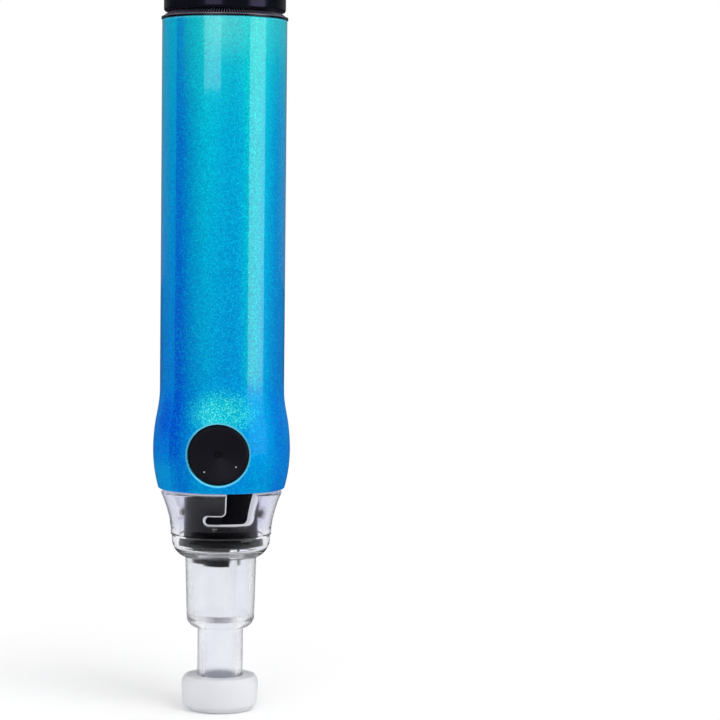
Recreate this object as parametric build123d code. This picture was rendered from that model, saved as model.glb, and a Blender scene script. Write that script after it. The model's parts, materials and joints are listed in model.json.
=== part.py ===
"""A vacuum-assisted lancing device, standing on its contact tip, in millimetres.

The device's axis is Z and its release button faces -Y. Angles round the axis are given from the
front, positive towards +X. A thumb plunger draws a piston up a sleeve inside the barrel. A sprung
lancet holder slides in the nose, and a clear nozzle with bayonet slots turns onto the nose's lugs.
"""

import os
from math import cos, degrees, pi, sin, sqrt

from build123d import *

# Clearances
glue_gap = 0.1  # between two pieces of the fixed housing that are bonded or pressed together
slide_gap = 0.1  # on the radius, between a piece and the bore that it slides in
turn_gap = 0.15  # round a bayonet lug in its slot
seal_gap = 0.05  # between a seal ring and the wall that it wipes
stop_gap = 0.1  # between two flat faces that meet at the end of a travel
groove_gap = 0.1  # on each side of a seal ring in its groove
spring_seat_gap = 0.2  # between a coil and the walls of its recess
join_overlap = 0.2  # of a feature's root inside the body that it grows from

# Contact tip
tip_height = 7.3
tip_belly_radius = 8.05
tip_belly_height = 5.2
tip_shoulder_radius = 8.0
tip_shoulder_height = 6.3
tip_top_radius = 7.4
tip_foot_radius = 7.8
tip_top_rounding = 0.4
tip_foot_rounding = 1.3
tip_recess_radius = 4.4
tip_recess_depth = 0.8
tip_boss_radius = 2.5
tip_hole_radius = 1.2
tip_floor = 1.8

# Nozzle
neck_radius = 4.75
neck_bore_radius = 3.4
neck_visible = 10.15
drum_foot_radius = 7.1
drum_foot_rounding = 2.3
drum_top_radius = 7.45
drum_length = 15.05
drum_wall = 1.1
drum_floor = 1.7
skirt_root_step = 0.45  # beyond the top of the drum
skirt_waist_rise = 4.4
skirt_step = 0.25
skirt_groove = 0.35  # width and depth of the line round the waist
skirt_collar = 1.6
skirt_rim_inset = 0.02  # inside the barrel's straight stretch
skirt_flare_width = 2.45  # from the waist to the rim
skirt_flare_rise = 8.15
skirt_flare_sag = 0.35
skirt_wall = 1.6
skirt_belly = 0.62  # of the round shoulder under the waist, outside a straight line
skirt_belly_share = 0.37  # of the shoulder's rise, where the belly is fullest
skirt_bore_drop = 1.6  # below the waist, where the bore starts to close
skirt_bore_sag = 0.45
skirt_bore_lip = 0.9  # of the shoulder's flat inner step
drum_mouth_bevel = 0.6
drum_floor_bevel = 1.2
skirt_edge_rounding = 0.6  # round the rim and the mouths of the bayonet slots
guide_rib_width = 0.9
guide_rib_height = 0.8
guide_rib_angle = 155.0

# Bayonet
lug_count = 3
lug_angle = -4.9
lug_width_angle = 19.0
lug_height = 1.45
lug_reach = 0.15  # beyond the skirt's waist
slot_floor_drop = 6.5  # from the nozzle's rim to the floor of the slot
slot_leg_angle = 28.2  # from the locked place to the middle of the open leg
slot_leg_spare_angle = 4.2  # more room on each side of a lug in the open leg
slot_corner_rounding = 1.1

# Barrel
barrel_length = 97.9
barrel_radius = 13.02
barrel_wall = 1.42  # of its straight stretch
rim_gap = 0.2  # between the nozzle's rim and the foot of the barrel
bulge_swell = 1.36  # beyond the straight stretch
bulge_height = 8.2  # above the foot of the barrel
bulge_top_height = 21.2
bulge_inflection = 0.62  # share of the way up where the bulge turns to meet the straight wall
bulge_foot_curve = 29.0
barrel_foot_rounding = 0.5
barrel_top_rounding = 0.25

# Button
button_radius = 6.12
button_height = 8.1  # of its axis above the foot of the barrel
button_hole_gap = 0.2
button_hole_rounding = 0.35
button_face_y = -13.3
button_edge_chamfer = 0.25
button_dish_radius = 5.3
button_dish_depth = 0.7
button_pit_radius = 0.8
button_pit_depth = 0.5
button_flange_radius = 6.95
button_flange_thickness = 1.0
button_cap_thickness = 2.3
button_travel = 1.2
button_pocket_gap = 0.25  # round the flange in its pocket
button_front_gap = 0.2  # in front of the flange
button_stem_radius = 1.4
button_seal_wire = 0.9
button_seal_depth = 1.2  # of the seal's middle behind the button's face
button_spring_spread = 4.6
button_spring_radius = 1.15
button_spring_bore_radius = 0.65
button_spring_seat_y = -5.0

# Nose and chassis
nose_room = 1.15  # between the nose and the skirt's bore
nose_length = 12.5
nose_rounding = 0.2
pocket_floor_gap = 0.3  # behind the button pushed home
bore_radius = 4.4
nose_seal_wire = 1.4
nose_seal_height = 0.9  # of the seal's middle above the end of the nose
guard_inner_radius = 4.75
guard_wall_gap = 0.3  # between the guard and the nozzle's drum
guard_drop = 3.5
guard_start_angle = -92.0
guard_end_angle = -38.0
step_height = 12.6  # of the spring step above the end of the nose
step_thickness = 3.0
chassis_rise = 0.5  # of its foot above the foot of the barrel
chassis_length = 34.1
sear_foot_room = 0.6  # in the slot below the sear
sear_head_room = 0.8  # in the slot above the sear

# Carriage
holder_radius = 4.0
holder_bore_radius = 3.0
holder_below_nose = 4.3
holder_length = 11.4
holder_floor = 1.4
holder_slot_start = 1.9
holder_slot_end = 3.5
holder_slot_height = 8.0
holder_edge_chamfer = 0.3
rod_radius = 2.3
collar_radius = 4.1
collar_height = 2.5
collar_edge_chamfer = 0.3
collar_foot = 28.6  # of the collar's underside above the end of the nose
rod_above_collar = 8.5
carriage_fire = 4.0
carriage_cock = 5.0
return_spring_radius = 3.4
drive_spring_radius = 3.3
carriage_wire = 0.6
return_spring_gap = 0.15  # between the return spring and the bore that holds it
return_spring_turns = 6
drive_spring_turns = 7

# Sear
sear_width = 3.4
sear_thickness = 1.8
sear_face_gap = 0.15
sear_pivot_rise = 6.0  # above the button's axis
sear_tail = 1.6  # below the button's axis
sear_hook_gap = 0.15
sear_hook_height = 1.5
sear_hook_length = 1.95
sear_pin_radius = 0.75
sear_pin_length = 9.0
sear_side_gap = 0.3
pin_running_gap = 0.04
sear_eye_radius = 1.7

# Vacuum plug
plug_thickness = 4.0
plug_spigot_height = 2.0
plug_spigot_gap = 0.5  # between the spigot and the spring round it
plug_port_radius = 1.2
plug_seal_wire = 1.3

# Piston and plunger
sleeve_wall = 1.6
spring_room = 16.0  # between the plug and the piston with the plunger pushed home
plunger_travel = 18.0
piston_height = 6.0
piston_gap = 0.15
piston_seal_wire = 1.6
piston_spring_recess = 1.2
stem_wall = 1.5
stem_floor = 2.5
stem_in_knob = 6.0
vacuum_spring_gap = 2.1  # between the spring and the sleeve's bore
vacuum_spring_wire = 1.0
vacuum_spring_turns = 6
screw_radius = 1.5
screw_head_radius = 2.9
screw_head_height = 1.7
screw_length = 10.0
screw_head_chamfer = 0.3
screw_socket_radius = 1.2
screw_end_gap = 0.3
screw_boss_wall = 1.6
screw_boss_cover = 1.5  # above the end of the screw

# Bezel ring and guide bush
bezel_overhang = 0.18  # beyond the barrel
bezel_band = 0.5
bezel_cone_height = 1.6
bezel_cone_width = 2.5
bezel_spigot_depth = 4.0
bezel_lip = 1.3
bezel_mouth_gap = 0.3  # round the stem where it leaves the ring
serration_count = 144
serration_depth = 0.3
bezel_shoulder = 0.15  # of the band round the foot of the teeth
bush_wall = 1.6
bush_gap = 0.7  # between the bush and the sleeve's bore

# Knob
knob_inset = 0.5  # inside the edge of the bezel ring
knob_length = 14.3
knob_rim_overlap = 0.55  # of the knob's rim below the top of the bezel ring
knob_rim_gap = 0.25  # between the rim's hollow and the ring's cone
knob_foot_rounding = 0.6
knob_top_rounding = 1.8
knob_top_band = 3.2  # between the knob's side and its dish
knob_dish_depth = 0.9

# Heights that follow from the sizes above
shoulder_z = tip_height + neck_visible
drum_top_z = shoulder_z + drum_length
waist_z = drum_top_z + skirt_waist_rise
flare_z = waist_z + skirt_collar
rim_z = flare_z + skirt_flare_rise
barrel_z = rim_z + rim_gap
barrel_top_z = barrel_z + barrel_length
chassis_foot_z = barrel_z + chassis_rise
nose_z = chassis_foot_z - nose_length
chassis_top_z = chassis_foot_z + chassis_length
button_z = barrel_z + button_height
step_z = nose_z + step_height
collar_z = nose_z + collar_foot
collar_top_z = collar_z + collar_height
ledge_z = collar_z - carriage_fire - stop_gap
plug_top_z = chassis_top_z + plug_thickness
piston_z = plug_top_z + spring_room
piston_top_z = piston_z + piston_height
bezel_top_z = barrel_top_z + bezel_band + bezel_cone_height
spigot_z = barrel_top_z - bezel_spigot_depth
knob_z = bezel_top_z - knob_rim_overlap
knob_roof_z = bezel_top_z + stop_gap
stem_top_z = knob_roof_z + stem_in_knob

# Radii and depths that follow
barrel_bore_radius = barrel_radius - barrel_wall
bulge_radius = barrel_radius + bulge_swell
chassis_radius = barrel_bore_radius - glue_gap
sleeve_radius = barrel_bore_radius - glue_gap
sleeve_bore_radius = sleeve_radius - sleeve_wall
stem_radius = sleeve_bore_radius - bush_gap - bush_wall - slide_gap
vacuum_spring_radius = sleeve_bore_radius - vacuum_spring_gap - vacuum_spring_wire / 2
plug_spigot_radius = vacuum_spring_radius - vacuum_spring_wire / 2 - plug_spigot_gap
bezel_radius = barrel_radius + bezel_overhang
bezel_top_radius = bezel_radius - bezel_cone_width
knob_radius = bezel_radius - knob_inset
knob_dish_radius = knob_radius - knob_top_band
skirt_rim_radius = barrel_radius - skirt_rim_inset
skirt_waist_radius = skirt_rim_radius - skirt_flare_width
skirt_root_radius = drum_top_radius + skirt_root_step
skirt_bore_radius = skirt_waist_radius - skirt_wall
nose_radius = skirt_bore_radius - nose_room
slot_floor_z = rim_z - slot_floor_drop
button_flange_y = button_face_y + button_cap_thickness
button_back_y = button_flange_y + button_flange_thickness
button_pocket_y = button_back_y + button_travel + pocket_floor_gap
button_pocket_radius = button_flange_radius + button_pocket_gap
button_hole_radius = button_radius + button_hole_gap
button_seal_y = button_face_y + button_seal_depth
nose_seal_radius = skirt_bore_radius - seal_gap - nose_seal_wire / 2
nose_seal_z = nose_z + nose_seal_height
plug_seal_radius = barrel_bore_radius - seal_gap - plug_seal_wire / 2
piston_seal_radius = sleeve_bore_radius - seal_gap - piston_seal_wire / 2
button_seal_radius = button_hole_radius - seal_gap - button_seal_wire / 2
sear_hook_y = -(collar_radius + sear_hook_gap)
sear_back_y = sear_hook_y - sear_hook_length
sear_y = sear_back_y - sear_thickness
sear_pivot_y = sear_y + sear_thickness / 2
sear_pivot_z = button_z + sear_pivot_rise
sear_top_z = collar_z + carriage_cock - stop_gap


def turned(outline):
    """The body that a closed outline of (radius, height) makes round the axis."""
    return revolve(Plane.XZ * make_face(outline), Axis.Z)


def post(radius, foot, top, bore=0.0):
    """A plain cylinder on the axis between two heights, or a tube if it has a bore."""
    outline = Polyline((bore, foot), (radius, foot), (radius, top), (bore, top), close=True)
    return turned(outline)


def sector(inner, outer, foot, top, start, end):
    """A wedge of a tube from one angle to another, with walls that point at the axis."""
    face = Polyline((inner, foot), (outer, foot), (outer, top), (inner, top), close=True)
    return Rot(0, 0, start - 90) * revolve(Plane.XZ * make_face(face), Axis.Z, end - start)


def rings(shape, height, least=0.0):
    """The round edges of a shape that lie at this height and have at least this radius."""
    circles = shape.edges().filter_by(GeomType.CIRCLE)
    return [e for e in circles if abs(e.center().Z - height) < 0.01 and e.radius > least - 0.01]


def along_y(radius, start, end, height, x=0.0):
    """A cylinder along Y between two depths, at this height and side."""
    disc = Plane((x, start, height), z_dir=(0, 1, 0)) * Circle(radius)
    return extrude(disc, end - start)


def lies_round_button(edge, radius):
    """Whether an edge keeps this distance from the button's axis."""
    points = [edge @ share for share in (0.1, 0.4, 0.7)]
    return all(abs(sqrt(p.X**2 + (p.Z - button_z) ** 2) - radius) < 0.01 for p in points)


def o_ring(radius, wire, height):
    """A seal ring whose middle line has this radius."""
    return Pos(0, 0, height) * Torus(radius, wire)


def coil(radius, wire, foot, top, turns):
    """A compression spring between two heights, of round wire given by its diameter."""
    rise = top - foot - wire
    path = Pos(0, 0, foot + wire / 2) * Helix(rise / turns, rise, radius)
    section = Plane(path @ 0, z_dir=path % 0) * Circle(wire / 2)
    return sweep(section, path, is_frenet=True)


def radial_edges(shape, low, high):
    """The straight edges that point at the axis, with their middles between two heights."""
    edges = [e for e in shape.edges().filter_by(GeomType.LINE) if low < e.center().Z < high]
    return [e for e in edges if abs(e.tangent_at(0).Z) < 0.01 and e.length > 1]


def bayonet_slot():
    """One cut of the nozzle's skirt: an open leg, and a run from it to the locked end."""
    half = lug_width_angle / 2 + degrees(turn_gap / nose_radius)
    leg_half = half + slot_leg_spare_angle
    run_top_z = slot_floor_z + lug_height + 2 * turn_gap
    leg_angle = lug_angle + slot_leg_angle
    inner, outer = nose_radius, skirt_rim_radius + 2
    end, far = lug_angle - half, leg_angle + leg_half
    run = sector(inner, outer, slot_floor_z, run_top_z, end, far)
    leg = sector(inner, outer, slot_floor_z, rim_z + 1, leg_angle - leg_half, far)
    cut = run + leg
    edges = ShapeList(radial_edges(cut, slot_floor_z - 1, rim_z)).sort_by(Axis.X)
    cut = fillet(edges[:2], 0.49 * (run_top_z - slot_floor_z))
    edges = ShapeList(radial_edges(cut, slot_floor_z - 1, rim_z)).sort_by(Axis.X)
    return fillet(edges[-2:], slot_corner_rounding)


def make_contact_tip():
    foot = tip_foot_radius - tip_foot_rounding
    outline = Polyline(
        (0, 0),
        (foot, 0),
        (tip_foot_radius, tip_foot_rounding),
        (tip_belly_radius, tip_belly_height),
        (tip_shoulder_radius, tip_shoulder_height),
        (tip_top_radius, tip_height),
        (0, tip_height),
        close=True,
    )
    tip = turned(outline)
    tip = fillet(rings(tip, tip_height) + rings(tip, tip_shoulder_height), tip_top_rounding)
    tip = fillet(rings(tip, 0) + rings(tip, tip_foot_rounding), tip_foot_rounding / 2)
    tip -= post(neck_radius + slide_gap, tip_floor, tip_height + 1)
    tip -= post(tip_recess_radius, -1, tip_recess_depth, tip_boss_radius)
    return tip - post(tip_hole_radius, -1, tip_height)


def lies_on_flare(edge):
    """Whether an edge is one of the outer edges of the skirt's flare, at its rim or round a slot."""
    points = [edge @ share for share in (0.03, 0.5, 0.97)]
    slope = skirt_flare_width / skirt_flare_rise
    slack = 0.1
    for point in points:
        reach = sqrt(point.X**2 + point.Y**2)
        straight = skirt_waist_radius + slope * (point.Z - flare_z)
        if abs(reach - straight) > skirt_flare_sag + slack or point.Z < slot_floor_z - slack:
            return False
    return True


def make_nozzle():
    neck_foot_z = tip_floor + stop_gap
    drum_foot_z = shoulder_z + drum_foot_rounding
    drum_bore_radius = drum_top_radius - drum_wall
    inner_foot_radius = drum_foot_radius - drum_wall
    floor_z = shoulder_z + drum_floor
    bevel_z = floor_z + drum_floor_bevel
    bevel_radius = inner_foot_radius - drum_floor_bevel
    inner_shoulder_z = drum_top_z + skirt_wall
    mouth_z = inner_shoulder_z - drum_mouth_bevel
    lip_radius = drum_bore_radius + skirt_bore_lip
    inner_waist_z = waist_z - skirt_bore_drop
    sag_z = (inner_waist_z + inner_shoulder_z - skirt_bore_sag) / 2
    step_radius = skirt_waist_radius - skirt_step
    groove_z = waist_z + skirt_groove
    belly_radius = (skirt_root_radius + step_radius) / 2 + skirt_belly
    belly = (belly_radius, drum_top_z + skirt_belly_share * skirt_waist_rise)
    mid_flare_radius = (skirt_waist_radius + skirt_rim_radius) / 2 - skirt_flare_sag
    mid_flare = (mid_flare_radius, (flare_z + rim_z) / 2)
    inner_mid = (mid_flare_radius - skirt_wall, (flare_z + rim_z) / 2)
    shoulder_start = (drum_foot_radius - drum_foot_rounding, shoulder_z)
    shoulder_mid = (
        drum_foot_radius - drum_foot_rounding * (1 - cos(pi / 4)),
        drum_foot_z - drum_foot_rounding * sin(pi / 4),
    )
    outer = [
        Line((neck_bore_radius, neck_foot_z), (neck_radius, neck_foot_z)),
        Line((neck_radius, neck_foot_z), (neck_radius, shoulder_z)),
        Line((neck_radius, shoulder_z), shoulder_start),
        ThreePointArc(shoulder_start, shoulder_mid, (drum_foot_radius, drum_foot_z)),
        Line((drum_foot_radius, drum_foot_z), (drum_top_radius, drum_top_z)),
        Line((drum_top_radius, drum_top_z), (skirt_root_radius, drum_top_z)),
        ThreePointArc((skirt_root_radius, drum_top_z), belly, (step_radius, waist_z)),
        Line((step_radius, waist_z), (step_radius - skirt_groove, groove_z)),
        Line((step_radius - skirt_groove, groove_z), (skirt_waist_radius, groove_z)),
        Line((skirt_waist_radius, groove_z), (skirt_waist_radius, flare_z)),
        ThreePointArc((skirt_waist_radius, flare_z), mid_flare, (skirt_rim_radius, rim_z)),
        Line((skirt_rim_radius, rim_z), (skirt_rim_radius - skirt_wall, rim_z)),
    ]
    inner = [
        ThreePointArc((skirt_rim_radius - skirt_wall, rim_z), inner_mid, (skirt_bore_radius, flare_z)),
        Line((skirt_bore_radius, flare_z), (skirt_bore_radius, inner_waist_z)),
        ThreePointArc(
            (skirt_bore_radius, inner_waist_z),
            (skirt_bore_radius - skirt_bore_sag, sag_z),
            (lip_radius, inner_shoulder_z),
        ),
        Line((lip_radius, inner_shoulder_z), (drum_bore_radius, mouth_z)),
        Line((drum_bore_radius, mouth_z), (inner_foot_radius, bevel_z)),
        Line((inner_foot_radius, bevel_z), (bevel_radius, floor_z)),
        Line((bevel_radius, floor_z), (neck_bore_radius, floor_z)),
        Line((neck_bore_radius, floor_z), (neck_bore_radius, neck_foot_z)),
    ]
    outline = outer[0]
    for edge in outer[1:] + inner:
        outline += edge
    past_leg = lug_angle + slot_leg_angle + lug_width_angle - 90
    nozzle = Rot(0, 0, past_leg) * turned(outline)  # its seam lies between two slots
    rib_inner = inner_foot_radius - guide_rib_height
    rib = Pos(0, -(rib_inner + drum_top_radius) / 2, (floor_z + inner_shoulder_z) / 2) * Box(
        guide_rib_width, drum_top_radius - rib_inner, inner_shoulder_z - floor_z
    )
    nozzle += Rot(0, 0, guide_rib_angle) * rib & post(drum_foot_radius - drum_wall / 2, floor_z, drum_top_z)
    slot = bayonet_slot()
    for i in range(lug_count):
        nozzle -= Rot(0, 0, i * 360 / lug_count) * slot
    return fillet([e for e in nozzle.edges() if lies_on_flare(e)], skirt_edge_rounding)


def make_barrel():
    bulge_z = barrel_z + bulge_height
    straight_z = barrel_z + bulge_top_height
    rise = straight_z - bulge_z
    slope = 2 * (bulge_radius - barrel_radius) / rise
    turn_z = bulge_z + bulge_inflection * rise
    turn_radius = bulge_radius - slope * (turn_z - bulge_z) / 2
    upper_mid_z, lower_mid_z = (bulge_z + turn_z) / 2, (turn_z + straight_z) / 2
    upper_mid = bulge_radius - slope * (turn_z - bulge_z) / 8
    lower_mid = barrel_radius + slope * (straight_z - turn_z) / 8
    foot_radius = bulge_radius - bulge_height**2 / (2 * bulge_foot_curve)
    foot_mid = (bulge_radius - bulge_height**2 / (8 * bulge_foot_curve), (barrel_z + bulge_z) / 2)
    outline = (
        Line((barrel_bore_radius, barrel_z), (foot_radius, barrel_z))
        + ThreePointArc((foot_radius, barrel_z), foot_mid, (bulge_radius, bulge_z))
        + ThreePointArc((bulge_radius, bulge_z), (upper_mid, upper_mid_z), (turn_radius, turn_z))
        + ThreePointArc((turn_radius, turn_z), (lower_mid, lower_mid_z), (barrel_radius, straight_z))
        + Line((barrel_radius, straight_z), (barrel_radius, barrel_top_z))
        + Line((barrel_radius, barrel_top_z), (barrel_bore_radius, barrel_top_z))
        + Line((barrel_bore_radius, barrel_top_z), (barrel_bore_radius, barrel_z))
    )
    barrel = turned(outline)
    barrel = fillet(rings(barrel, barrel_z, foot_radius), barrel_foot_rounding)
    barrel = fillet(rings(barrel, barrel_top_z, barrel_radius), barrel_top_rounding)
    barrel -= along_y(button_hole_radius, -bulge_radius - 1, 0, button_z)
    mouth = [e for e in barrel.edges() if lies_round_button(e, button_hole_radius)]
    barrel = fillet([e for e in mouth if (e @ 0.5).Y < -barrel_bore_radius], button_hole_rounding)
    return barrel - along_y(button_pocket_radius, button_flange_y - button_front_gap, 0, button_z)


def make_button():
    cap = along_y(button_radius, button_face_y, button_flange_y, button_z)
    edge = cap.edges().filter_by(GeomType.CIRCLE).sort_by(Axis.Y)[0]
    cap = chamfer(edge, button_edge_chamfer)
    face = Plane((0, button_face_y, button_z), z_dir=(0, 1, 0))
    low = (Align.CENTER, Align.CENTER, Align.MIN)
    cap -= face * Cone(button_dish_radius, button_pit_radius, button_dish_depth, align=low)
    pit_y = button_face_y + button_dish_depth + button_pit_depth
    cap -= along_y(button_pit_radius, button_face_y, pit_y, button_z)
    flange = along_y(button_flange_radius, button_flange_y, button_back_y, button_z)
    stem_end_y = sear_y - sear_face_gap - button_stem_radius
    stem = along_y(button_stem_radius, button_back_y, stem_end_y, button_z)
    half = button_seal_wire / 2 + groove_gap
    root = button_seal_radius - button_seal_wire / 2 - seal_gap
    groove = along_y(button_radius + 1, button_seal_y - half, button_seal_y + half, button_z)
    cap -= groove - along_y(root, button_seal_y - 1, button_seal_y + 1, button_z)
    tip = Pos(0, stem_end_y, button_z) * Sphere(button_stem_radius)
    return cap + flange + stem + tip


def make_button_seal():
    middle = Plane((0, button_seal_y, button_z), z_dir=(0, 1, 0))
    return middle * Torus(button_seal_radius, button_seal_wire / 2)


def make_button_springs():
    seat_y = button_spring_seat_y
    end_y = button_back_y + button_travel + stop_gap
    springs = []
    for side in (-1, 1):
        x = side * button_spring_spread
        tube = along_y(button_spring_radius, end_y, seat_y, button_z, x)
        springs.append(tube - along_y(button_spring_bore_radius, end_y - 1, seat_y + 1, button_z, x))
    return springs


def make_nose_block():
    lug_root = nose_radius - join_overlap
    inside = bore_radius + join_overlap
    outline = Polyline(
        (bore_radius, nose_z),
        (nose_radius, nose_z),
        (nose_radius, chassis_foot_z),
        (chassis_radius, chassis_foot_z),
        (chassis_radius, chassis_top_z),
        (bore_radius, chassis_top_z),
        close=True,
    )
    block = turned(outline)
    block = fillet(rings(block, nose_z, nose_radius), nose_rounding)
    block += post(inside, step_z, step_z + step_thickness, rod_radius + slide_gap)
    spring_bore = return_spring_radius + carriage_wire / 2 + return_spring_gap
    block += post(inside, step_z + step_thickness / 2, ledge_z, spring_bore)
    groove = nose_seal_wire / 2 + groove_gap
    root = nose_seal_radius - nose_seal_wire / 2 - seal_gap
    block -= post(nose_radius + 1, nose_seal_z - groove, nose_seal_z + groove, root)
    guard_top = nose_z + nose_rounding
    block += sector(
        guard_inner_radius,
        drum_top_radius - drum_wall - guard_wall_gap,
        nose_z - guard_drop,
        guard_top,
        guard_start_angle,
        guard_end_angle,
    )
    lug_z = slot_floor_z + turn_gap
    half = lug_width_angle / 2
    lug_end = skirt_waist_radius + lug_reach
    lug = sector(lug_root, lug_end, lug_z, lug_z + lug_height, lug_angle - half, lug_angle + half)
    lug = fillet(radial_edges(lug, lug_z - 1, lug_z + lug_height + 1), 0.49 * lug_height)
    for i in range(lug_count):
        block += Rot(0, 0, i * 360 / lug_count) * lug
    block -= along_y(button_pocket_radius, -chassis_radius - 1, button_pocket_y, button_z)
    slot_foot = button_z - sear_tail - sear_foot_room
    slot_top = sear_top_z + sear_head_room
    slot_width = sear_width + 2 * sear_side_gap
    front = (Align.CENTER, Align.MAX, Align.MIN)
    slot = Box(slot_width, chassis_radius + 1, slot_top - slot_foot, align=front)
    block -= Pos(0, 0, slot_foot) * slot
    pin_hole = Plane((-chassis_radius - 1, sear_pivot_y, sear_pivot_z), z_dir=(1, 0, 0))
    block -= extrude(pin_hole * Circle(sear_pin_radius + pin_running_gap), 2 * chassis_radius + 2)
    for side in (-1, 1):
        x = side * button_spring_spread
        hole = button_spring_radius + slide_gap
        block -= along_y(hole, button_pocket_y - 1, button_spring_seat_y, button_z, x)
    return block


def make_sear():
    low_z = button_z - sear_tail
    high_z = sear_top_z
    bar = Pos(0, sear_y, low_z) * Box(
        sear_width, sear_thickness, high_z - low_z, align=(Align.CENTER, Align.MIN, Align.MIN)
    )
    hook = Pos(0, sear_back_y, high_z - sear_hook_height) * Box(
        sear_width, sear_hook_length, sear_hook_height, align=(Align.CENTER, Align.MIN, Align.MIN)
    )
    eye = Plane((-sear_width / 2, sear_pivot_y, sear_pivot_z), z_dir=(1, 0, 0))
    sear = bar + hook + extrude(eye * Circle(sear_eye_radius), sear_width)
    hole = extrude(eye * Circle(sear_pin_radius + pin_running_gap), sear_width)
    return sear - hole


def make_sear_pin():
    start = Plane((-sear_pin_length / 2, sear_pivot_y, sear_pivot_z), z_dir=(1, 0, 0))
    return extrude(start * Circle(sear_pin_radius), sear_pin_length)


def make_lancet_holder():
    foot_z = nose_z - holder_below_nose
    cup_top_z = foot_z + holder_length
    rod_top_z = collar_top_z + rod_above_collar
    cup = post(holder_radius, foot_z, cup_top_z) + post(rod_radius, cup_top_z, rod_top_z)
    cup = chamfer(rings(cup, foot_z), holder_edge_chamfer)
    cup -= post(holder_bore_radius, foot_z - 1, cup_top_z - holder_floor)
    slot_width = holder_slot_end - holder_slot_start
    side = (Align.MIN, Align.CENTER, Align.MIN)
    slot = Box(slot_width, 2 * holder_radius + 2, holder_slot_height + 1, align=side)
    return cup - Pos(holder_slot_start, 0, foot_z - 1) * slot


def make_catch_collar():
    collar = post(collar_radius, collar_z, collar_top_z, rod_radius + glue_gap / 2)
    rims = rings(collar, collar_z, collar_radius) + rings(collar, collar_top_z, collar_radius)
    return chamfer(rims, collar_edge_chamfer)


def make_plug():
    plug = post(chassis_radius, chassis_top_z, plug_top_z, plug_port_radius)
    plug += post(plug_spigot_radius, plug_top_z, plug_top_z + plug_spigot_height, plug_port_radius)
    middle = chassis_top_z + plug_thickness / 2
    groove = plug_seal_wire / 2 + groove_gap
    root = plug_seal_radius - plug_seal_wire / 2 - seal_gap
    return plug - post(chassis_radius + 1, middle - groove, middle + groove, root)


def make_piston():
    radius = sleeve_bore_radius - piston_gap
    piston = post(radius, piston_z, piston_top_z)
    middle = piston_z + piston_height / 2
    groove = piston_seal_wire / 2 + groove_gap
    root = piston_seal_radius - piston_seal_wire / 2 - seal_gap
    piston -= post(radius + 1, middle - groove, middle + groove, root)
    inner = vacuum_spring_radius - vacuum_spring_wire / 2 - spring_seat_gap
    outer = vacuum_spring_radius + vacuum_spring_wire / 2 + spring_seat_gap
    recess_top = piston_z + piston_spring_recess
    piston -= post(outer, piston_z - 1, recess_top, inner)
    piston -= post(screw_radius + slide_gap, piston_z - 1, piston_top_z + 1)
    piston -= post(screw_head_radius + slide_gap, piston_z - 1, piston_z + screw_head_height)
    return piston


def make_piston_screw():
    head_top = piston_z + screw_head_height
    screw = post(screw_head_radius, piston_z, head_top)
    screw += post(screw_radius, head_top, piston_z + screw_length)
    screw = chamfer(rings(screw, piston_z), screw_head_chamfer)
    socket = extrude(RegularPolygon(screw_socket_radius, 6), screw_head_height)
    return screw - Pos(0, 0, piston_z) * socket


def make_plunger_stem():
    bore = stem_radius - stem_wall
    stem = post(stem_radius, piston_top_z, stem_top_z)
    stem -= post(bore, piston_top_z + stem_floor, stem_top_z + 1)
    screw_end_z = piston_z + screw_length
    boss_foot_z = piston_top_z + stem_floor / 2
    stem += post(screw_radius + screw_boss_wall, boss_foot_z, screw_end_z + screw_boss_cover)
    return stem - post(screw_radius + slide_gap, piston_top_z - 1, screw_end_z + screw_end_gap)


def make_knob():
    top_z = knob_z + knob_length
    knob = post(knob_radius, knob_z, top_z)
    knob = fillet(rings(knob, knob_z), knob_foot_rounding)
    knob = fillet(rings(knob, top_z), knob_top_rounding)
    ring_slope = bezel_cone_height / bezel_cone_width
    mouth_radius = bezel_top_radius + knob_rim_overlap / ring_slope + knob_rim_gap
    roof_radius = bezel_top_radius + knob_rim_gap
    hollow = [(0, knob_z), (mouth_radius, knob_z), (roof_radius, knob_roof_z), (0, knob_roof_z)]
    knob -= turned(Polyline(*hollow, close=True))
    knob -= post(stem_radius + glue_gap, knob_z, stem_top_z + stop_gap)
    ball_radius = (knob_dish_radius**2 + knob_dish_depth**2) / (2 * knob_dish_depth)
    return knob - Pos(0, 0, top_z - knob_dish_depth + ball_radius) * Sphere(ball_radius)


def make_bezel_ring():
    bore = stem_radius + slide_gap + bush_wall + glue_gap
    spigot = post(sleeve_radius, spigot_z, barrel_top_z, bore)
    lip_z = bezel_top_z - bezel_lip
    band = post(bezel_radius, barrel_top_z, barrel_top_z + bezel_band)

    def star(radius, height):
        step = pi / serration_count
        points = []
        for i in range(2 * serration_count):
            reach = radius - (serration_depth if i % 2 else 0)
            points.append((reach * cos(i * step), reach * sin(i * step), height))
        return make_face(Polyline(*points, close=True))

    low = star(bezel_radius - bezel_shoulder, barrel_top_z + bezel_band)
    high = star(bezel_top_radius, bezel_top_z)
    ring = band + loft([low, high], ruled=True)
    ring -= post(bore, barrel_top_z - 1, lip_z)
    ring -= post(stem_radius + bezel_mouth_gap, barrel_top_z - 1, bezel_top_z + 1)
    return spigot + ring


def make_guide_bush():
    inner = stem_radius + slide_gap
    foot_z = piston_top_z + plunger_travel + stop_gap
    return post(inner + bush_wall, foot_z, bezel_top_z - bezel_lip, inner)


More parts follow.
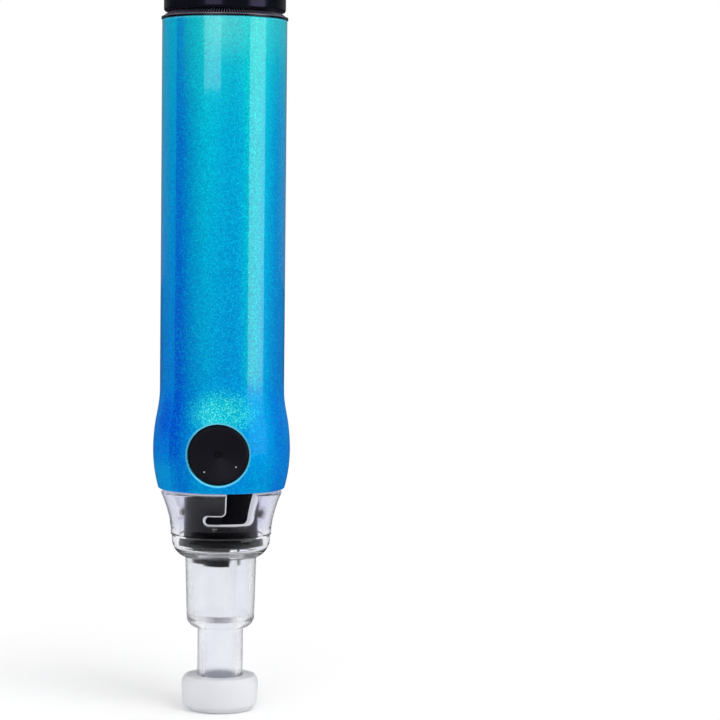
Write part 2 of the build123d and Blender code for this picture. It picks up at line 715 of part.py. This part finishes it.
pieces = {
    "contact_tip": make_contact_tip(),
    "nozzle": make_nozzle(),
    "barrel": make_barrel(),
    "bezel_ring": make_bezel_ring(),
    "guide_bush": make_guide_bush(),
    "vacuum_sleeve": post(sleeve_radius, plug_top_z, spigot_z, sleeve_bore_radius),
    "nose_block": make_nose_block(),
    "nose_seal": o_ring(nose_seal_radius, nose_seal_wire / 2, nose_seal_z),
    "sleeve_plug": make_plug(),
    "plug_seal": o_ring(plug_seal_radius, plug_seal_wire / 2, chassis_top_z + plug_thickness / 2),
    "sear": make_sear(),
    "sear_pin": make_sear_pin(),
    "button": make_button(),
    "button_seal": make_button_seal(),
    "button_springs": Compound(children=make_button_springs()),
    "lancet_holder": make_lancet_holder(),
    "catch_collar": make_catch_collar(),
    "return_spring": coil(
        return_spring_radius, carriage_wire, step_z + step_thickness, collar_z, return_spring_turns
    ),
    "drive_spring": coil(
        drive_spring_radius, carriage_wire, collar_top_z, chassis_top_z, drive_spring_turns
    ),
    "piston": make_piston(),
    "piston_seal": o_ring(piston_seal_radius, piston_seal_wire / 2, piston_z + piston_height / 2),
    "piston_screw": make_piston_screw(),
    "vacuum_spring": coil(
        vacuum_spring_radius,
        vacuum_spring_wire,
        plug_top_z,
        piston_z + piston_spring_recess,
        vacuum_spring_turns,
    ),
    "plunger_stem": make_plunger_stem(),
    "knob": make_knob(),
}

os.makedirs("parts", exist_ok=True)
for name, piece in pieces.items():
    export_step(piece, f"parts/{name}.step")
    print(name, round(piece.volume, 1), "mm3")
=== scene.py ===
"""The looks of the lancing device: its finishes, the light and the camera."""

import json
from math import pi, radians

import bpy
from mathutils import Euler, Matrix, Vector

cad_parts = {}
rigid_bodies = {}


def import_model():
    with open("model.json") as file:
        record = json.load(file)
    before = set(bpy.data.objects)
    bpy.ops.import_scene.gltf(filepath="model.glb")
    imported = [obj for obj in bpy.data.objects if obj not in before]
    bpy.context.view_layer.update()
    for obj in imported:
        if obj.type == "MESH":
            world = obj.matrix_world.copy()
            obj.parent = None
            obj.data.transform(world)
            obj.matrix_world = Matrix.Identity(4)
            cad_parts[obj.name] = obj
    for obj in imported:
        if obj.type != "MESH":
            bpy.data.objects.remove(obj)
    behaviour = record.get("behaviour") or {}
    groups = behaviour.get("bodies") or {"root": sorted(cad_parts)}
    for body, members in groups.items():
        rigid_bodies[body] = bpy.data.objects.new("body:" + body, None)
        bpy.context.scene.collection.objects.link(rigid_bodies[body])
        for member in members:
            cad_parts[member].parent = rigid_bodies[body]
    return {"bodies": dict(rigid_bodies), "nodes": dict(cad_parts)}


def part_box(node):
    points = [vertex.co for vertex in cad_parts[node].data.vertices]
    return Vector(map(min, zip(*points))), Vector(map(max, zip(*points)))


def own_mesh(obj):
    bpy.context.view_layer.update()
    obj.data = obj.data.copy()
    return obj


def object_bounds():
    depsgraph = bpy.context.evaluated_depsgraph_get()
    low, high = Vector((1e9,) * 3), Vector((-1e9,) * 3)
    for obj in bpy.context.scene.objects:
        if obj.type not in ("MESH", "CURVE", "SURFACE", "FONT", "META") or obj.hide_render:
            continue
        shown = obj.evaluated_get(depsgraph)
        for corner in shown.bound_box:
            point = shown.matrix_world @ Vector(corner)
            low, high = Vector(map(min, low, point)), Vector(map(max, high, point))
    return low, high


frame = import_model()
nodes = frame["nodes"]
cad_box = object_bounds()

MM = 0.001
FULL_TURN = radians(360)
WHITE = (1.0, 1.0, 1.0, 1.0)

# In each of the pairs below, a shade is nil at the first number and full at the second.
# Round the barrel, in turns about its axis, with the button's side at 0.5:
BACK_FADE = (0.04, 0.26)
# The next three place the painted light of the left side and the painted dark band where it starts.
LEFT_SIDE = (0.3745, 0.3715)
BAND_LEFT = (0.3715, 0.3745)
BAND_RIGHT = (0.415, 0.38)
# The next one places the painted light left of the button.
SHORE_ROUND = (0.43, 0.36)
# In metres above the tip's face:
# The next two make the painted light that turns the barrel lighter and greener towards the top.
PEARL_RISE = (50 * MM, 145 * MM)
TEAL_RISE = (118 * MM, 147 * MM)
NECK_HAZE = (35.5 * MM, 32.0 * MM)
SKIRT_RISE = (37.0 * MM, 39.5 * MM)
# In millimetres above the button's middle:
# The next one: where the painted light left of the button fades out.
SHORE_FALL = (1.0, -4.0)
# The next one: where the painted highlight streak begins.
STREAK_HIGHLIGHT_RISE = (10.0, 18.0)
GLOSS_RISE = (10.0, 17.0)
# In metres from the middle of the floor, beside the device or in front of it:
SHADOW_FADE = (0.025, 0.13)
RIGHT_FADE = (0.0, 0.04)
MIRROR_FADE = (0.02, 0.07)
FRONT_FADE = (-0.03, -0.14)

# Painted light and shade: how pale the barrel is round its axis, as (turn, level).
PAINTED_LIGHT_BANDS = [
    (0.00, 0.45), (0.30, 0.55), (0.36, 0.40), (0.378, 0.00), (0.40, 0.10), (0.44, 0.90), (0.475, 1.00),
    (0.515, 0.66), (0.545, 0.66), (0.59, 0.90), (0.63, 0.95), (0.665, 0.25), (0.71, 0.55), (1.00, 0.45),
]
# Painted highlight at the top of the barrel: how strong it is round the axis, as (turn, level).
CROWN_HIGHLIGHT_BANDS = [(0.44, 0.0), (0.5, 1.0), (0.6, 0.3)]
# Painted highlight down the right of the barrel: how strong it is round the axis, as (turn, level).
STREAK_HIGHLIGHT_BANDS = [(0.55, 0.0), (0.575, 1.0), (0.6, 1.0), (0.625, 0.0)]
FLAKES = 5200.0  # flakes of the pearl in a metre
FLAKE_LEAN = 0.16  # how far a flake leans out of the paint

TOOTH_SLOPE = 1.47  # width of the toothed ring's cone for each unit of its height
TOOTH_ROOT = 10.4 * MM  # radius of the teeth's roots at the top of the ring
TURNING_PITCH = 0.16 * MM  # from one turned groove of the button to the next
PAINTED_GLINTS = ((-2.8 * MM, 3.5 * MM), (3.7 * MM, 2.4 * MM))  # two painted glints, each right of the button's middle, and below it
SLOT_FOOT = 39.0 * MM  # height over which the nozzle's slots are cut

FLOOR_WIDTH = 6
FLOOR_LIFT = 0.1  # share of plain white in the floor beside the device
ROOM_LIGHT = 0.8  # brightness of the room for matt surfaces
LAMP_AIM = (0, 0, 0.09)
LAMPS = {  # place, width and height of the face, and its brightness, where 1 is white
    "key": ((0.33, -0.38, 0.68), 0.36, 0.36, 4.5),
    "right_strip": ((0.506, -0.215, 0.115), 0.33, 0.22, 2.2),
    "left_front": ((-0.20, -0.59, 0.35), 0.38, 0.40, 1.8),
    "overhead": ((0.05, -0.02, 0.8), 0.3, 0.3, 1.5),
}
CAMERA_PLACE = (0.0289, -0.524, 0.1034)
CAMERA_LENS = 125.0  # on a sensor 36 mm wide
CAMERA_DIP = radians(3.20)
CAMERA_ROLL = radians(0.62)


class Shade:
    """One output of a node, written in sums like a number."""

    def __init__(self, finish, socket):
        self.finish = finish
        self.socket = socket

    def sum_with(self, operation, first, second):
        return self.finish.node("ShaderNodeMath", {"operation": operation}, {0: first, 1: second})

    def __add__(self, other):
        return self.sum_with("ADD", self, other)

    def __radd__(self, other):
        return self.sum_with("ADD", other, self)

    def __sub__(self, other):
        return self.sum_with("SUBTRACT", self, other)

    def __rsub__(self, other):
        return self.sum_with("SUBTRACT", other, self)

    def __mul__(self, other):
        return self.sum_with("MULTIPLY", self, other)

    def __rmul__(self, other):
        return self.sum_with("MULTIPLY", other, self)

    def __truediv__(self, other):
        return self.sum_with("DIVIDE", self, other)

    def __rtruediv__(self, other):
        return self.sum_with("DIVIDE", other, self)

    def __pow__(self, other):
        return self.sum_with("POWER", self, other)

    def __rpow__(self, other):
        return self.sum_with("POWER", other, self)

    def __gt__(self, other):
        return self.sum_with("GREATER_THAN", self, other)

    def __lt__(self, other):
        return self.sum_with("GREATER_THAN", other, self)


class Finish:
    """A finish of the device: a material, and the nodes that colour and roughen its shader."""

    def __init__(self, name, **fixed):
        self.material = bpy.data.materials.new(name)
        self.material.use_nodes = True
        self.tree = self.material.node_tree
        self.shader = self.tree.nodes["Principled BSDF"]
        self.place = self.node("ShaderNodeTexCoord", output="Object")
        for socket, value in fixed.items():
            self.shader.inputs[socket.replace("_", " ")].default_value = value

    def node(self, kind, settings=None, inputs=None, output=0):
        """Adds a node with its settings, then the values or links of its sockets."""
        made = self.tree.nodes.new(kind)
        for name, value in (settings or {}).items():
            if name == "stops":
                self.set_stops(made.color_ramp, value)
            else:
                setattr(made, name, value)
        for socket, value in (inputs or {}).items():
            self.feed(made.inputs[socket], value)
        return Shade(self, made.outputs[output])

    def set_stops(self, ramp, stops):
        ramp.interpolation = "B_SPLINE" if len(stops) > 3 else "LINEAR"
        while len(ramp.elements) < len(stops):
            ramp.elements.new(0.5)
        for element, (position, tone) in zip(ramp.elements, stops):
            element.position = position
            element.color = tone

    def feed(self, socket, value):
        if isinstance(value, Shade):
            self.tree.links.new(value.socket, socket)
        else:
            socket.default_value = value

    def dress(self, **varied):
        """Feeds what varies over the surface to the shader's own sockets."""
        for socket, value in varied.items():
            self.feed(self.shader.inputs[socket.replace("_", " ")], value)
        return self

    def noise(self, scale, detail=2.0, place=None):
        return self.node(
            "ShaderNodeTexNoise", None, {"Vector": place or self.place, "Scale": scale, "Detail": detail}
        )

    def vector_sum(self, operation, first, second, output=0):
        """A sum of two vectors."""
        return self.node("ShaderNodeVectorMath", {"operation": operation}, {0: first, 1: second}, output)

    def unit(self, vector):
        """A vector of the same direction that is 1 long."""
        return self.node("ShaderNodeVectorMath", {"operation": "NORMALIZE"}, {0: vector})

    def mixed(self, share, first, second):
        """A colour between two others."""
        return self.node("ShaderNodeMix", {"data_type": "RGBA"}, {0: share, 6: first, 7: second}, 2)

    def washed(self, under, share, strength, over):
        """A colour with another laid over it, by a share of this strength."""
        return self.mixed(share * strength, under, over)

    def between(self, value, low, high):
        """How far a value has come from one level to another, from 0 to 1."""
        return self.node(
            "ShaderNodeMapRange",
            {"interpolation_type": "SMOOTHSTEP"},
            {"Value": value, "From Min": low, "From Max": high},
        )

    def ramp(self, value, stops):
        """A curve through these stops of (value, level)."""
        stops = [(place, (level, level, level, 1.0)) for place, level in stops]
        return self.node("ShaderNodeValToRGB", {"stops": stops}, {0: value})

    def bump(self, height, depth, normal=None):
        """A relief with this depth in metres."""
        inputs = {"Height": height, "Distance": depth}
        if normal is not None:
            inputs["Normal"] = normal
        return self.node("ShaderNodeBump", None, inputs)

    def light_path(self, output):
        """What kind of ray has come to the surface."""
        return self.node("ShaderNodeLightPath", output=output)

    def glow(self, tone, strength):
        """A shader that shines evenly."""
        return self.node("ShaderNodeEmission", None, {"Color": tone, "Strength": strength})

    def blend(self, share, first, second):
        """A shader between two others."""
        return self.node("ShaderNodeMixShader", None, {0: share, 1: first, 2: second})

    def cover(self, share, layer):
        """Lays another shader over this finish where the share isn't 0."""
        surface = self.tree.nodes["Material Output"].inputs["Surface"]
        own = Shade(self, surface.links[0].from_socket)
        self.feed(surface, self.blend(share, own, layer))
        return self

    def axes(self):
        """The three parts of a point on the piece."""
        return [self.node("ShaderNodeSeparateXYZ", None, {0: self.place}, i) for i in range(3)]

    def stretched(self, x, y, z):
        """Points on the piece, scaled along each axis, for grain that runs one way."""
        return self.node("ShaderNodeMapping", None, {"Vector": self.place, "Scale": (x, y, z)})


class Room(Finish):
    """The nodes of the studio's world."""

    def __init__(self, tree):
        self.tree = tree


def colour(red, green, blue):
    """A colour as a screen shows it, 0 to 255, in the shader's linear numbers."""
    parts = [part / 255 for part in (red, green, blue)]
    linear = [p / 12.92 if p < 0.04045 else ((p + 0.055) / 1.055) ** 2.4 for p in parts]
    return (*linear, 1.0)


def spanning(value, low, high):
    """A value from 0 to 1, made to run from one level to another."""
    return value * (high - low) + low


def distance(across, up):
    """How far a point is from a middle, by its two parts."""
    return (across * across + up * up) ** 0.5


def button_height():
    """The height of the release button's axis."""
    low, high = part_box("button")
    return (low.z + high.z) / 2


def turn_round_axis(paint, x, y):
    """How far round the axis a point is, from 0 to 1, with the button's side at 0.5."""
    turn = paint.node("ShaderNodeMath", {"operation": "ARCTAN2"}, {0: x, 1: 0 - y})
    return turn / FULL_TURN + 0.5


def pearl_with_painted_bands(paint, turn, z, height):
    """Blue and turquoise pearl, with painted light and shade in soft bands round the barrel, and painted
    light that makes it lighter and greener towards the top.
    """
    drift = paint.noise(22.0, detail=1.0) - 0.5
    # painted light and shade in soft bands round the barrel
    painted_bands = paint.ramp(turn + drift * 0.012, PAINTED_LIGHT_BANDS)
    # painted light: lighter blue and greener turquoise towards the top
    blue = paint.mixed(height, colour(0, 86, 222), colour(0, 112, 222))
    turquoise = paint.mixed(height, colour(0, 150, 222), colour(0, 188, 216))
    hue = paint.mixed(painted_bands, blue, turquoise)
    # painted light: a greener wash near the top
    return paint.washed(hue, paint.between(z, *TEAL_RISE), 0.55, colour(30, 208, 205))


def painted_left_light(paint, hue, turn, height, round_left):
    """Painted light that makes the left side a brighter blue, and a painted dark reflection in the band
    where it starts.
    """
    # painted light: the left side a brighter blue
    side = paint.between(turn, *LEFT_SIDE) * round_left
    hue = paint.washed(hue, side, 0.6, paint.mixed(height, colour(0, 130, 255), colour(0, 190, 250)))
    # painted dark reflection: a deep blue band where the left side starts
    painted_dark_band = paint.between(turn, *BAND_LEFT) * paint.between(turn, *BAND_RIGHT)
    return paint.washed(hue, painted_dark_band, 0.6, paint.mixed(height, colour(0, 76, 226), colour(0, 128, 238)))


def painted_light_by_button(paint, hue, turn, above_button, round_left):
    """Painted light: the light blue left of the button; and painted shade: the deep blue over that."""
    # painted light left of the button
    shore_light = paint.between(turn, *SHORE_ROUND) * round_left * paint.between(above_button, *SHORE_FALL)
    hue = paint.washed(hue, shore_light, 0.55, colour(0, 172, 236))
    # painted shade: deep blue over the painted light
    deep_shade = distance((turn - 0.345) * 22.0, (above_button - 7.0) / 6.0)
    return paint.washed(hue, paint.between(deep_shade, 1.1, 0.3), 0.6, colour(0, 66, 232))


def glittered(paint, hue, flakes, highlight_patch, highlight_strength):
    """Painted glints on flakes that shine out of the paint, strongest in the painted highlights, and flakes
    that sink darker into it, each by its own luck.
    """
    luck = paint.node("ShaderNodeSeparateColor", None, {0: flakes}, 0)
    # painted glints on the luckiest flakes, strongest in the painted highlights
    painted_glint = paint.between(luck, 0.6, 1.0) * spanning(highlight_strength, 0.25, 0.7)
    hue = paint.mixed(painted_glint, hue, paint.mixed(highlight_patch, colour(10, 252, 235), colour(110, 255, 235)))
    return paint.washed(hue, paint.between(luck, 0.4, 0.0), 0.3, colour(0, 90, 150))


def flaked_normals(paint, flakes):
    """The surface's normals, each leaning with its flake."""
    lean = paint.vector_sum("SUBTRACT", flakes, (0.5, 0.5, 0.5))
    lean = paint.node("ShaderNodeVectorMath", {"operation": "SCALE"}, {0: lean, "Scale": FLAKE_LEAN})
    facing = paint.node("ShaderNodeNewGeometry", output="Normal")
    return paint.unit(paint.vector_sum("ADD", facing, lean))


def pearl_paint_with_painted_light():
    """Turquoise to blue pearl with fine metal flake under a glossy clear coat, with painted light, shade,
    highlights and glints.
    """
    paint = Finish(
        "pearl_paint_with_painted_light",
        Metallic=0.3,
        Specular_IOR_Level=0.02,
        Coat_Roughness=0.035,
        Coat_IOR=1.5,
    )
    x, y, z = paint.axes()
    turn = turn_round_axis(paint, x, y)
    front = 0 - y > 0
    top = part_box("barrel")[1].z
    above_button = (z - button_height()) / MM
    height = paint.between(z, *PEARL_RISE)
    round_left = paint.between(turn, *BACK_FADE)

    hue = pearl_with_painted_bands(paint, turn, z, height)
    hue = painted_left_light(paint, hue, turn, height, round_left)
    # painted highlight near the top of the barrel
    crown_highlight = paint.between(z, top - 11 * MM, top - 1 * MM) * paint.ramp(turn, CROWN_HIGHLIGHT_BANDS)
    hue = paint.washed(hue, crown_highlight, 0.5, colour(120, 222, 214))
    # painted highlight along the barrel's top edge
    top_edge_highlight = paint.between(z, top - 0.6 * MM, top - 0.3 * MM)
    hue = paint.washed(hue, top_edge_highlight, 0.6, colour(90, 220, 255))
    hue = painted_light_by_button(paint, hue, turn, above_button, round_left)

    # painted highlight streak down the right side
    streak_highlight = paint.ramp(turn, STREAK_HIGHLIGHT_BANDS) * paint.between(above_button, *STREAK_HIGHLIGHT_RISE)
    # painted highlight: a bright patch above the button
    spread = distance((x - 0.8 * MM) / (8.5 * MM), (above_button - 8.5) / 6.0)
    highlight_patch = paint.between(spread, 1.05, 0.25) * front
    hue = paint.washed(hue, highlight_patch, 0.7, colour(8, 204, 208))
    hue = paint.washed(hue, streak_highlight, 0.56, colour(8, 197, 185))
    place = {"Vector": paint.place, "Scale": FLAKES}
    flakes = paint.node("ShaderNodeTexVoronoi", {"feature": "F1"}, place, "Color")
    hue = glittered(paint, hue, flakes, highlight_patch, streak_highlight * 0.6 + highlight_patch + crown_highlight * 0.4)

    from_button = distance(z - button_height(), x)
    # painted highlight on the rounded edge of the button's hole
    mouth_highlight = paint.between(from_button, 6.85 * MM, 6.5 * MM) * front
    hue = paint.washed(hue, mouth_highlight, 0.8, colour(110, 226, 252))

    rough = spanning(paint.noise(260.0, detail=3.0), 0.38, 0.46)
    gloss = spanning(paint.between(above_button, *GLOSS_RISE), 0.12, 0.87)
    skin = paint.noise(900.0, detail=1.0)
    relief = paint.bump(skin, 0.004 * MM, flaked_normals(paint, flakes))
    return paint.dress(Base_Color=hue, Roughness=rough, Coat_Weight=gloss, Normal=relief)


def gloss_black_plastic():
    """Moulded black plastic with a high polish, faint ripples and handling marks."""
    tint = colour(190, 176, 236)
    plastic = Finish("gloss_black_plastic", Specular_Tint=tint, Specular_IOR_Level=0.45)
    cloud = plastic.noise(90.0, detail=3.0)
    shade = plastic.mixed(cloud, colour(8, 10, 14), colour(18, 20, 28))
    marks = plastic.noise(1.0, 4.0, plastic.stretched(900.0, 900.0, 120.0))
    rough = (marks > 0.62) * 0.1 + spanning(cloud, 0.14, 0.22)
    ripple = plastic.bump(plastic.noise(140.0, detail=1.0), 0.03 * MM)
    return plastic.dress(Base_Color=shade, Roughness=rough, Normal=ripple)


def toothed_ring_black():
    """Satin black of the ring, with painted highlights on the crests of its fine teeth, where they catch
    the light.
    """
    ring = Finish("toothed_ring_black", Metallic=0.35, Specular_IOR_Level=0.6)
    cloud = ring.noise(400.0)
    x, y, z = ring.axes()
    cone = distance(x, y) + (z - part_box("bezel_ring")[1].z) * TOOTH_SLOPE
    # painted highlights: the crests of the teeth lighter, as if catching the light
    crest = ring.between(cone, TOOTH_ROOT + 0.12 * MM, TOOTH_ROOT + 0.28 * MM)
    crest_highlight = ring.mixed(cloud, colour(84, 78, 100), colour(130, 124, 142))
    shade = ring.mixed(crest, colour(12, 10, 20), crest_highlight)
    skin = ring.bump(ring.noise(2400.0), 0.004 * MM)
    return ring.dress(Base_Color=shade, Roughness=spanning(cloud, 0.2, 0.32), Normal=skin)


def satin_black_plastic():
    """Black engineering plastic, slightly grained."""
    plastic = Finish("satin_black_plastic", Specular_IOR_Level=0.07)
    grain = plastic.bump(plastic.noise(2600.0, detail=3.0), 0.003 * MM)
    cloud = plastic.noise(160.0)
    shade = plastic.mixed(cloud, colour(4, 4, 9), colour(14, 14, 24))
    return plastic.dress(Base_Color=shade, Roughness=spanning(cloud, 0.3, 0.44), Normal=grain)


def turned_black_button():
    """Black anodised metal with the rings that turning leaves, and two painted glints."""
    metal = Finish("turned_black_button", Metallic=0.5, Specular_IOR_Level=0.3)
    x, _, z = metal.axes()
    up = z - button_height()
    out = distance(x, up)
    ring = metal.node("ShaderNodeMath", {"operation": "SINE"}, {0: out * (FULL_TURN / TURNING_PITCH)})
    uneven = metal.noise(1.0, place=metal.node("ShaderNodeCombineXYZ", None, {0: out * 9000.0}))
    shade = metal.mixed(uneven, colour(10, 10, 17), colour(34, 34, 46))
    # two tiny painted glints on the button's face
    for side, drop in PAINTED_GLINTS:
        glint_spot = metal.between(distance(x - side, up + drop), 0.22 * MM, 0.1 * MM)
        shade = metal.mixed(glint_spot, shade, colour(205, 205, 215))
    turning = metal.bump(ring + uneven, 0.006 * MM)
    return metal.dress(Base_Color=shade, Roughness=spanning(uneven, 0.3, 0.48), Normal=turning)


def cut_edges(plastic, x, y, z):
    """Where the nozzle's wall is cut through: above the waist, where it faces neither out nor in."""
    level = plastic.node("ShaderNodeCombineXYZ", None, {0: x, 1: y})
    facing = plastic.node("ShaderNodeTexCoord", output="Normal")
    square = plastic.vector_sum("DOT_PRODUCT", facing, plastic.unit(level), 1)
    return plastic.between(square * square, 0.78, 0.5) * (z > SLOT_FOOT)


def clear_nozzle_plastic():
    """Clear moulded plastic with a lavender tint: hazy under the skirt, and white where slots are cut,
    partly frosted and partly a painted glow.
    """
    plastic = Finish("clear_nozzle_plastic", Transmission_Weight=1.0, IOR=1.42)
    x, y, z = plastic.axes()
    flow = plastic.noise(1.0, place=plastic.stretched(260.0, 260.0, 60.0))
    haze = plastic.between(z, *NECK_HAZE)
    skirt = plastic.between(z, *SKIRT_RISE)
    smudge = plastic.between(plastic.noise(170.0), 0.45, 0.7)
    shade = plastic.mixed(flow, colour(245, 246, 253), colour(252, 253, 255))
    shade = plastic.washed(shade, skirt, 0.7, colour(230, 230, 248))
    rough = haze * 0.16 + skirt * 0.1 + smudge * 0.05 + 0.012
    plastic.dress(Base_Color=shade, Roughness=rough, Normal=plastic.bump(flow, 0.02 * MM))

    cut = cut_edges(plastic, x, y, z)
    tint = colour(246, 246, 253)
    milk = plastic.node("ShaderNodeBsdfTranslucent", None, {"Color": tint})
    chalk = plastic.node("ShaderNodeBsdfDiffuse", None, {"Color": tint})
    # painted glow on the cut edges, as if light came out of them
    painted_edge_glow = plastic.glow(colour(244, 244, 254), 1.0)
    frost_and_painted_glow = plastic.blend(cut * 0.3, plastic.blend(0.5, chalk, milk), painted_edge_glow)
    return plastic.cover(cut * 0.85 + haze * spanning(smudge, 0.012, 0.042), frost_and_painted_glow)


def frosted_tip_plastic():
    """Milky plastic with a fine spark-eroded skin."""
    plastic = Finish("frosted_tip_plastic", Transmission_Weight=0.45, IOR=1.4, Specular_IOR_Level=0.3)
    skin = plastic.noise(3200.0, detail=3.0)
    cloud = plastic.noise(240.0)
    shade = plastic.mixed(cloud, colour(243, 245, 251), colour(252, 252, 255))
    rough = spanning(skin, 0.36, 0.48)
    return plastic.dress(Base_Color=shade, Roughness=rough, Normal=plastic.bump(skin, 0.03 * MM))


def white_sleeve_plastic():
    """White bearing plastic of the liner, plug and bush."""
    plastic = Finish("white_sleeve_plastic")
    cloud = plastic.noise(180.0, detail=3.0)
    shade = plastic.mixed(cloud, colour(214, 214, 208), colour(236, 236, 231))
    grain = plastic.bump(plastic.noise(1900.0), 0.01 * MM)
    return plastic.dress(Base_Color=shade, Roughness=spanning(cloud, 0.35, 0.5), Normal=grain)


def seal_rubber():
    """Dull black rubber of the rings."""
    rubber = Finish("seal_rubber")
    bloom = rubber.noise(700.0, detail=4.0)
    shade = rubber.mixed(bloom, colour(16, 16, 17), colour(44, 44, 46))
    rough = spanning(bloom, 0.6, 0.8)
    return rubber.dress(Base_Color=shade, Roughness=rough, Normal=rubber.bump(bloom, 0.02 * MM))


def drawn_spring_steel():
    """Bright wire with the lines of the drawing die."""
    steel = Finish("drawn_spring_steel", Metallic=1.0)
    lines = steel.noise(2400.0)
    shade = steel.mixed(lines, colour(168, 170, 174), colour(206, 207, 210))
    rough = spanning(lines, 0.2, 0.36)
    return steel.dress(Base_Color=shade, Roughness=rough, Normal=steel.bump(lines, 0.004 * MM))


FINISHES = {
    pearl_paint_with_painted_light: ["barrel"],
    gloss_black_plastic: ["knob", "plunger_stem", "piston"],
    toothed_ring_black: ["bezel_ring"],
    satin_black_plastic: ["nose_block", "lancet_holder", "catch_collar", "sear"],
    turned_black_button: ["button"],
    clear_nozzle_plastic: ["nozzle"],
    frosted_tip_plastic: ["contact_tip"],
    white_sleeve_plastic: ["vacuum_sleeve", "sleeve_plug", "guide_bush"],
    seal_rubber: ["nose_seal", "plug_seal", "button_seal", "piston_seal"],
    drawn_spring_steel: [
        "sear_pin",
        "button_springs",
        "return_spring",
        "drive_spring",
        "vacuum_spring",
        "piston_screw",
    ],
}


def dress_nodes():
    """Gives each piece its finish."""
    for make, names in FINISHES.items():
        material = make().material
        for name in names:
            for place in nodes[name].material_slots:
                place.material = material


def pale_floor():
    """A wide white floor that keeps the device's soft shadow, and is plain white further off."""
    bpy.ops.mesh.primitive_plane_add(size=FLOOR_WIDTH, location=(0, 0, cad_box[0][2]))
    floor = bpy.context.object
    floor.name = "floor"
    white = Finish("pale_floor", Roughness=0.9, Specular_IOR_Level=0.1)
    weave = white.noise(6.0)
    white.dress(Base_Color=white.mixed(weave, (0.92, 0.92, 0.92, 1), (0.95, 0.95, 0.95, 1)))
    x, y, _ = white.axes()
    far = white.between(distance(x + 0.012, y), *SHADOW_FADE)
    far = far + (1 - far) * white.between(x, *RIGHT_FADE) * 0.8
    seen = white.light_path("Is Camera Ray") + white.light_path("Is Transmission Ray")
    white.cover(seen * spanning(far, FLOOR_LIFT, 1.0), white.glow(WHITE, 1.0))
    inside = white.light_path("Transmission Depth") > 0.5
    around = white.between(distance(x, y), *MIRROR_FADE) * (1 - inside)
    in_front = white.between(y, *FRONT_FADE) * inside
    white.cover(white.light_path("Is Glossy Ray") * (around + in_front), white.glow(WHITE, 0.02))
    floor.data.materials.append(white.material)
    floor.parent = frame["bodies"]["tip"]  # the floor stays under the tip when the tip is pulled off


def press_springs():
    """Gives the drive spring and the return spring each a mesh of its own.
    """
    for name, fixed_end in (("drive_spring", 1), ("return_spring", 0)):
        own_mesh(nodes[name])


def studio_world():
    """White to the camera; dimmer as a light, as a reflection, and through the clear plastic in front."""
    world = bpy.data.worlds.new("studio_world")
    bpy.context.scene.world = world
    world.use_nodes = True
    room = Room(world.node_tree)
    camera = room.light_path("Is Camera Ray")
    glossy = room.light_path("Is Glossy Ray")
    through = room.light_path("Transmission Depth") > 0.5
    direction = room.node("ShaderNodeTexCoord", output="Generated")
    depth = room.node("ShaderNodeSeparateXYZ", None, {0: direction}, 1)
    mirrored = spanning(room.between(depth, 0.3, 0.95), 0.006, 0.156)
    seen_through = spanning(room.between(depth, -0.95, -0.3), 0.1, 1.0)
    matt = (1 - glossy) * (1 - camera) * ROOM_LIGHT
    strength = camera + matt + glossy * (through * seen_through + (1 - through) * mirrored)
    light = room.tree.nodes["Background"]
    light.inputs["Color"].default_value = WHITE
    room.feed(light.inputs["Strength"], strength)


def softbox(name, centre, width, height, strength):
    """A soft lamp whose face has this brightness, where 1 is white."""
    lamp = bpy.data.lights.new(name, "AREA")
    lamp.shape = "RECTANGLE"
    lamp.size = width
    lamp.size_y = height
    lamp.energy = strength * pi * width * height
    holder = bpy.data.objects.new(name, lamp)
    bpy.context.scene.collection.objects.link(holder)
    holder.location = centre
    holder.visible_transmission = False
    holder.rotation_euler = (Vector(LAMP_AIM) - Vector(centre)).to_track_quat("-Z", "Y").to_euler()


def photo_camera():
    """The photograph's view: a long lens a little above the middle, tipped down and rolled slightly."""
    camera = bpy.data.cameras.new("photo_camera")
    camera.sensor_width = 36.0
    camera.lens = CAMERA_LENS
    camera.clip_start = 0.01
    holder = bpy.data.objects.new("photo_camera", camera)
    bpy.context.scene.collection.objects.link(holder)
    holder.location = CAMERA_PLACE
    dip = Euler((radians(90) - CAMERA_DIP, 0, 0)).to_matrix()
    roll = Euler((0, 0, CAMERA_ROLL)).to_matrix()
    holder.rotation_euler = (dip @ roll).to_euler()
    bpy.context.scene.camera = holder


dress_nodes()
pale_floor()
studio_world()
for lamp_name, setting in LAMPS.items():
    softbox(lamp_name, *setting)
photo_camera()
bpy.context.scene.view_settings.view_transform = "Standard"

press_springs()
